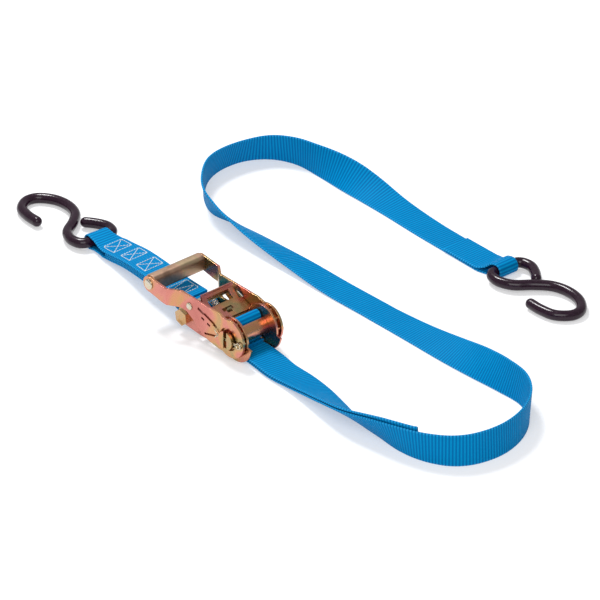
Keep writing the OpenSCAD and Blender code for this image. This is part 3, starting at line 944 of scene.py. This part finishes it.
@dataclass
class CotterPin:
    """A split pin: two legs side by side from an open eye, with their ends bent apart."""

    name: str
    node: str
    y: float
    leg: float = 0.55
    eye: float = 2.1

    def build(self, material: bpy.types.Material) -> None:
        """Makes the pin as one wire: leg, round the eye, and back."""
        a = np.radians(np.linspace(-155, 155, 25))[::-1]
        ring = np.stack([12.4 + self.eye * np.cos(a), self.eye * np.sin(a)], 1)
        upper = np.array([[-12.4, 2.9], [-11.4, 1.5], [-10.2, 0.75], [-8.5, self.leg],
                          [9.2, self.leg]])
        path = np.vstack([smooth(upper, 5), ring, smooth(upper[::-1] * [1, -1], 5)])
        line = np.stack([path[:, 0], np.full(len(path), self.y), path[:, 1]], 1)
        piece = wire_piece(self.name, line, self.leg, np.array([0.0, 1.0, 0.0]), material,
                           Body.SPOOL, 10)
        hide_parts(self.node)


class Ratchet:
    """The ratchet's frame, spool, handle, slider and lock pawl."""

    PIN_Y = 20.7

    def __init__(self, finishes: Finishes) -> None:
        """Keeps the finishes and lists the pressings."""
        self.finishes = finishes
        plate, gold, bright = finishes.plate, finishes.fastener, finishes.bright
        self.pressings = [
            (Pressing("frame_plate_near", Body.FRAME), plate, "plated_steel"),
            (Pressing("frame_plate_far", Body.FRAME), plate, "plated_steel"),
            (Pressing("frame_bridge", Body.FRAME, 0.2), plate, "plated_steel"),
            (Pressing("anchor_bolt", Body.FRAME, 0.3), gold, "fastener_steel"),
            (Pressing("anchor_nut", Body.FRAME, 0.4), gold, "fastener_steel"),
            (Pressing("anchor_sleeve", Body.FRAME, 0.15), bright, "fastener_steel"),
            (Pressing("lock_pawl", Body.LOCK), plate, "plated_steel"),
            (Pressing("handle_plate_near", Body.HANDLE), plate, "plated_steel"),
            (Pressing("handle_plate_far", Body.HANDLE), plate, "plated_steel"),
            (Pressing("grip_channel", Body.HANDLE, 0.3), finishes.grip, "grip_steel"),
            (Pressing("grip_rivet", Body.HANDLE, 0.2), bright, "fastener_steel"),
            (Pressing("handle_crossbar", Body.HANDLE, 0.2), bright, "fastener_steel"),
            (Pressing("release_slider", Body.SLIDER), plate, "plated_steel"),
            (Pressing("half_shaft_rear", Body.SPOOL, 0.4), plate, "fastener_steel"),
            (Pressing("half_shaft_front", Body.SPOOL, 0.4), plate, "fastener_steel"),
            (Pressing("ratchet_wheel_near", Body.SPOOL, 0.2), plate, "plated_steel"),
            (Pressing("ratchet_wheel_far", Body.SPOOL, 0.2), plate, "plated_steel"),
        ]

    def build(self) -> None:
        """Makes every metal part."""
        for pressing, material, slot in self.pressings:
            pressing.build(material, slot)
        Spring("release_coil", "release_spring", Body.HANDLE, "release_slide", 20.0, 29.1, -5.3,
               10.8, 2.3, 0.7, 5.0, 0.52).build(self.finishes.bright)
        Spring("lock_coil", "lock_spring", Body.FRAME, "lock_slide", -15.0, 27.1, 0.0,
               9.8, 2.3, 0.8, 5.0, 0.6).build(self.finishes.bright)
        CotterPin("cotter_near", "cotter_pin_near", -self.PIN_Y).build(self.finishes.bright)
        CotterPin("cotter_far", "cotter_pin_far", self.PIN_Y).build(self.finishes.bright)


# ---------------------------------------------------------------- studio


@dataclass
class Studio:
    """A pale floor, soft light from large panels, and the camera."""

    azimuth: float = 48.1
    elevation: float = 29.9
    distance: float = 5.157
    focal: float = 423.65
    target: tuple = (-0.0311, 0.078, -0.018)

    def camera(self) -> None:
        """Makes the camera, which looks from its azimuth and elevation at the target."""
        a, e = radians(self.azimuth), radians(self.elevation)
        away = Vector((np.sin(a) * np.cos(e), -np.cos(a) * np.cos(e), np.sin(e)))
        lens = bpy.data.cameras.new("camera")
        lens.lens = self.focal
        lens.sensor_width = 36.0
        eye = bpy.data.objects.new("camera", lens)
        eye.location = Vector(self.target) + self.distance * away
        eye.rotation_euler = away.to_track_quat("Z", "Y").to_euler()
        bpy.context.scene.collection.objects.link(eye)
        bpy.context.scene.camera = eye

    def panel(self, name: str, place: tuple, size: float, watts: float) -> None:
        """Makes a square light panel that faces the object."""
        light = bpy.data.lights.new(name, "AREA")
        light.shape = "SQUARE"
        light.size = size
        light.energy = watts
        lamp = bpy.data.objects.new(name, light)
        lamp.location = place
        toward = Vector(place) - Vector((0.0, 0.08, 0.0))
        lamp.rotation_euler = toward.to_track_quat("Z", "Y").to_euler()
        bpy.context.scene.collection.objects.link(lamp)

    def floor(self) -> None:
        """Makes a plain pale floor at the lowest point of the object."""
        r = 6.0
        corners = [(-r, -r, GROUND * MM), (r, -r, GROUND * MM), (r, r, GROUND * MM),
                   (-r, r, GROUND * MM)]
        mesh = bpy.data.meshes.new("floor")
        mesh.from_pydata(corners, [], [(0, 1, 2, 3)])
        material, _, shader = new_material("matt_white_paper")
        shader.inputs["Base Color"].default_value = linear("#CCCCCE")
        shader.inputs["Roughness"].default_value = 0.9
        shader.inputs["Specular IOR Level"].default_value = 0.05
        shader.inputs["Emission Color"].default_value = linear("#FFFFFF")
        shader.inputs["Emission Strength"].default_value = 0.42
        mesh.materials.append(material)
        ground = bpy.data.objects.new("floor", mesh)
        bpy.context.scene.collection.objects.link(ground)

    def light(self) -> None:
        """Makes the soft sky and the panels."""
        world = bpy.data.worlds.new("studio")
        world.use_nodes = True
        back = world.node_tree.nodes["Background"]
        back.inputs["Color"].default_value = linear("#FFFFFF")
        back.inputs["Strength"].default_value = 0.45
        bpy.context.scene.world = world
        self.panel("key", (-0.95, 0.25, 1.7), 0.5, 32.0)
        self.panel("fill", (1.0, -1.0, 1.3), 1.2, 16.0)
        bpy.context.scene.view_settings.view_transform = "Standard"

    def build(self) -> None:
        """Makes the floor and the lights."""
        self.floor()
        self.light()


def main() -> None:
    """Builds the whole object."""
    logging.basicConfig(level=logging.INFO, format="%(name)s: %(message)s")
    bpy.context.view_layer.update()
    studio = Studio()
    studio.camera()
    finishes = Finishes()
    hooks = Hooks(finishes)
    hooks.build()
    Webbing(finishes).build()
    Ratchet(finishes).build()
    studio.build()


if __name__ == "__main__":
    main()
